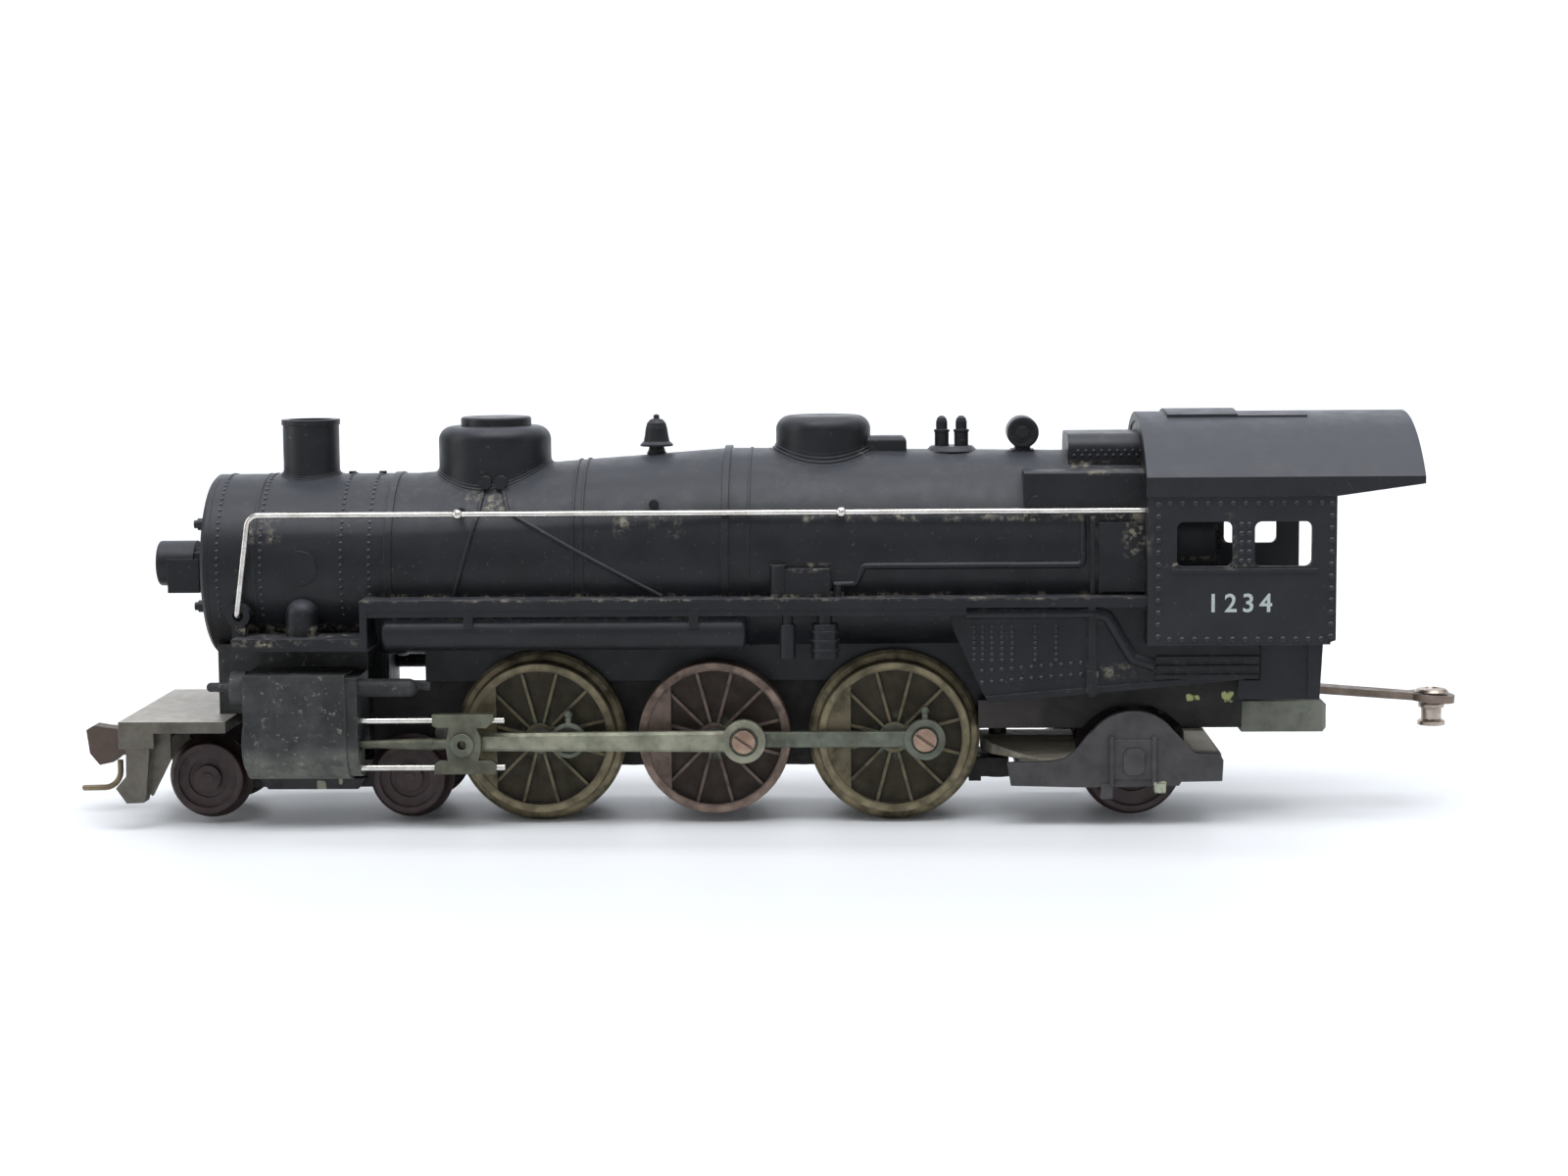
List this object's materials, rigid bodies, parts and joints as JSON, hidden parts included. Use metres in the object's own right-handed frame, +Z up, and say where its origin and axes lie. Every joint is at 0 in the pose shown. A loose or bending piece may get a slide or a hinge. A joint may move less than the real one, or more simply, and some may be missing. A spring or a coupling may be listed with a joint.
{
  "type": "model steam locomotive",
  "caption": "Small-scale model of a steam locomotive with spoked driving wheels, working side and main rods, swivelling trucks, a cab and a rear drawbar.",
  "frame": {"origin": "middle of the length and width, at the bottom of the wheel flanges", "axes": "+X towards the cab and drawbar, -X towards the smokebox and front coupler, +Z up, the engine's left side is -Y"},
  "size_m": [0.1856, 0.0342, 0.0537],
  "materials": {
    "shell_black": "satin black moulded plastic, dusty in the corners",
    "rail_wire": "bright drawn wire",
    "white_metal": "black painted casting",
    "cast_zinc": "bare tarnished casting, greenish at the edges",
    "cylinder_zinc": "worn black over grey casting",
    "frame_black": "dark brown-black painted casting",
    "driver_metal": "tarnished plated wheel, olive brown",
    "axle_steel": "dull steel",
    "rod_zinc": "tarnished grey-green with verdigris",
    "nickel": "worn nickel plate",
    "truck_wheel": "dark red-brown",
    "truck_black": "dark grey worn paint",
    "coupler_plastic": "rust brown",
    "trip_brass": "tarnished wire",
    "drawbar_metal": "tarnished strip",
    "lens": "clear lens",
    "weight_lead": "grey cast weight",
    "motor_steel": "grey steel plate",
    "magnet": "dark sintered block",
    "copper": "varnished copper windings on a steel core",
    "gear_brass": "cut brass",
    "spring_steel": "wire"
  },
  "bodies": {
    "engine": {"boiler_shell": "shell_black", "smokebox_front": "shell_black", "headlight": "shell_black", "headlight_lens": "lens", "bell": "shell_black", "safety_valves": "shell_black", "generator": "shell_black", "handrail_left": "rail_wire", "handrail_right": "rail_wire", "handrail_stanchions": "rail_wire", "boiler_weight": "weight_lead", "cab_shell": "shell_black", "cab_roof": "shell_black", "main_frame": "frame_black", "bottom_plate": "frame_black", "tail_plate": "cast_zinc", "cylinder_block": "cylinder_zinc", "guide_bars": "rail_wire", "pilot_deck": "cast_zinc", "coupler_lid": "cast_zinc", "frame_screws": "nickel", "pivot_screws": "nickel", "motor_frame": "motor_steel", "motor_magnet": "magnet"},
    "driver_1": {"driver_1_axle": "axle_steel", "driver_1_wheel_left": "driver_metal", "driver_1_wheel_right": "driver_metal", "driver_1_crank_pins": "nickel"},
    "driver_2": {"driver_2_axle": "axle_steel", "driver_2_wheel_left": "driver_metal", "driver_2_wheel_right": "driver_metal", "driver_2_crank_pins": "nickel"},
    "driver_3": {"driver_3_axle": "axle_steel", "driver_3_wheel_left": "driver_metal", "driver_3_wheel_right": "driver_metal", "driver_3_crank_pins": "nickel", "worm_gear": "gear_brass"},
    "side_rod_left": {"side_rod_left": "rod_zinc"},
    "side_rod_right": {"side_rod_right": "rod_zinc"},
    "main_rod_left": {"main_rod_left": "rod_zinc"},
    "main_rod_right": {"main_rod_right": "rod_zinc"},
    "cross_pin": {"frame_cross_pin": "axle_steel"},
    "wrist_pin_left": {"wrist_pin_left": "nickel"},
    "wrist_pin_right": {"wrist_pin_right": "nickel"},
    "crosshead_left": {"crosshead_left": "rod_zinc", "piston_rod_left": "rail_wire"},
    "crosshead_right": {"crosshead_right": "rod_zinc", "piston_rod_right": "rail_wire"},
    "armature": {"motor_armature": "copper"},
    "pilot_truck": {"pilot_truck_frame": "truck_black", "pilot_truck_spring": "spring_steel"},
    "pilot_front_wheels": {"pilot_front_wheelset": "truck_wheel"},
    "pilot_rear_wheels": {"pilot_rear_wheelset": "truck_wheel"},
    "trailing_truck": {"trailing_truck_frame": "truck_black"},
    "trailing_wheels": {"trailing_wheelset": "truck_wheel"},
    "drawbar": {"drawbar": "drawbar_metal", "drawbar_pin": "nickel"},
    "coupler": {"coupler_head": "coupler_plastic", "trip_pin": "trip_brass"},
    "knuckle": {"coupler_knuckle": "coupler_plastic"}
  },
  "joints": [
    {"name": "driver_2_spin", "type": "hinge", "parent": "engine", "child": "driver_2", "pos_m": [-0.0059, 0, 0.0113], "axis": [0, -1, 0], "continuous": true},
    {"name": "driver_1_spin", "type": "hinge", "parent": "engine", "child": "driver_1", "pos_m": [-0.029, 0, 0.0113], "axis": [0, -1, 0], "continuous": true},
    {"name": "driver_3_spin", "type": "hinge", "parent": "engine", "child": "driver_3", "pos_m": [0.01775, 0, 0.0113], "axis": [0, -1, 0], "continuous": true},
    {"name": "side_rod_left_pivot", "type": "hinge", "parent": "driver_2", "child": "side_rod_left", "pos_m": [-0.0019, -0.0117, 0.0113], "axis": [0, -1, 0], "continuous": true},
    {"name": "side_rod_right_pivot", "type": "hinge", "parent": "driver_2", "child": "side_rod_right", "pos_m": [-0.0059, 0.0117, 0.0153], "axis": [0, -1, 0], "continuous": true},
    {"name": "main_rod_left_pivot", "type": "hinge", "parent": "driver_2", "child": "main_rod_left", "pos_m": [-0.0019, -0.0131, 0.0113], "axis": [0, -1, 0], "continuous": true},
    {"name": "main_rod_right_pivot", "type": "hinge", "parent": "driver_2", "child": "main_rod_right", "pos_m": [-0.0059, 0.0131, 0.0153], "axis": [0, -1, 0], "continuous": true},
    {"name": "cross_pin_spin", "type": "hinge", "parent": "engine", "child": "cross_pin", "pos_m": [-0.0425, 0, 0.0113], "axis": [0, -1, 0], "continuous": true},
    {"name": "wrist_pin_left_spin", "type": "hinge", "parent": "cross_pin", "child": "wrist_pin_left", "pos_m": [-0.0405, -0.0145, 0.0113], "axis": [0, -1, 0], "continuous": true},
    {"name": "wrist_pin_right_spin", "type": "hinge", "parent": "cross_pin", "child": "wrist_pin_right", "pos_m": [-0.0425, 0.0145, 0.0133], "axis": [0, -1, 0], "continuous": true},
    {"name": "crosshead_left_travel", "type": "hinge", "parent": "wrist_pin_left", "child": "crosshead_left", "pos_m": [-0.0385, -0.0145, 0.0113], "axis": [0, -1, 0], "continuous": true},
    {"name": "crosshead_right_travel", "type": "hinge", "parent": "wrist_pin_right", "child": "crosshead_right", "pos_m": [-0.0425, 0.0145, 0.0113], "axis": [0, -1, 0], "continuous": true},
    {"name": "pilot_truck_swivel", "type": "hinge", "parent": "engine", "child": "pilot_truck", "pos_m": [-0.0599, 0, 0.007], "axis": [0, 0, 1], "range_deg": [-4, 4]},
    {"name": "pilot_front_spin", "type": "hinge", "parent": "pilot_truck", "child": "pilot_front_wheels", "pos_m": [-0.0733, 0, 0.00605], "axis": [0, -1, 0], "continuous": true},
    {"name": "pilot_rear_spin", "type": "hinge", "parent": "pilot_truck", "child": "pilot_rear_wheels", "pos_m": [-0.0464, 0, 0.00605], "axis": [0, -1, 0], "continuous": true},
    {"name": "trailing_truck_swivel", "type": "hinge", "parent": "engine", "child": "trailing_truck", "pos_m": [0.0317, 0, 0.0088], "axis": [0, 0, 1], "range_deg": [-6, 6]},
    {"name": "trailing_spin", "type": "hinge", "parent": "trailing_truck", "child": "trailing_wheels", "pos_m": [0.0489, 0, 0.00735], "axis": [0, -1, 0], "continuous": true},
    {"name": "drawbar_swing", "type": "hinge", "parent": "engine", "child": "drawbar", "pos_m": [0.0661, 0, 0.01675], "axis": [0, 0, 1], "range_deg": [-20, 20]},
    {"name": "coupler_swing", "type": "hinge", "parent": "engine", "child": "coupler", "pos_m": [-0.0797, 0, 0.0094], "axis": [0, 0, 1], "range_deg": [-6, 6], "stiffness_Nm_per_rad": 0.002},
    {"name": "knuckle_hinge", "type": "hinge", "parent": "coupler", "child": "knuckle", "pos_m": [-0.0889, 0.0014, 0.0096], "axis": [0, 0, 1], "range_deg": [-30, 0], "stiffness_Nm_per_rad": 0.0002},
    {"name": "armature_spin", "type": "hinge", "parent": "engine", "child": "armature", "pos_m": [0.0391, 0, 0.0195], "axis": [1, 0, 0], "continuous": true}
  ],
  "couplings": [
    {"joint": "driver_1_spin", "follows": "driver_2_spin", "ratio": 1},
    {"joint": "driver_3_spin", "follows": "driver_2_spin", "ratio": 1},
    {"joint": "side_rod_left_pivot", "follows": "driver_2_spin", "ratio": -1},
    {"joint": "side_rod_right_pivot", "follows": "driver_2_spin", "ratio": -1},
    {"joint": "main_rod_left_pivot", "follows": "driver_2_spin", "ratio": -1},
    {"joint": "main_rod_right_pivot", "follows": "driver_2_spin", "ratio": -1},
    {"joint": "cross_pin_spin", "follows": "driver_2_spin", "ratio": 1},
    {"joint": "wrist_pin_left_spin", "follows": "driver_2_spin", "ratio": -2},
    {"joint": "wrist_pin_right_spin", "follows": "driver_2_spin", "ratio": -2},
    {"joint": "crosshead_left_travel", "follows": "driver_2_spin", "ratio": 1},
    {"joint": "crosshead_right_travel", "follows": "driver_2_spin", "ratio": 1},
    {"joint": "armature_spin", "follows": "driver_2_spin", "ratio": 30}
  ]
}
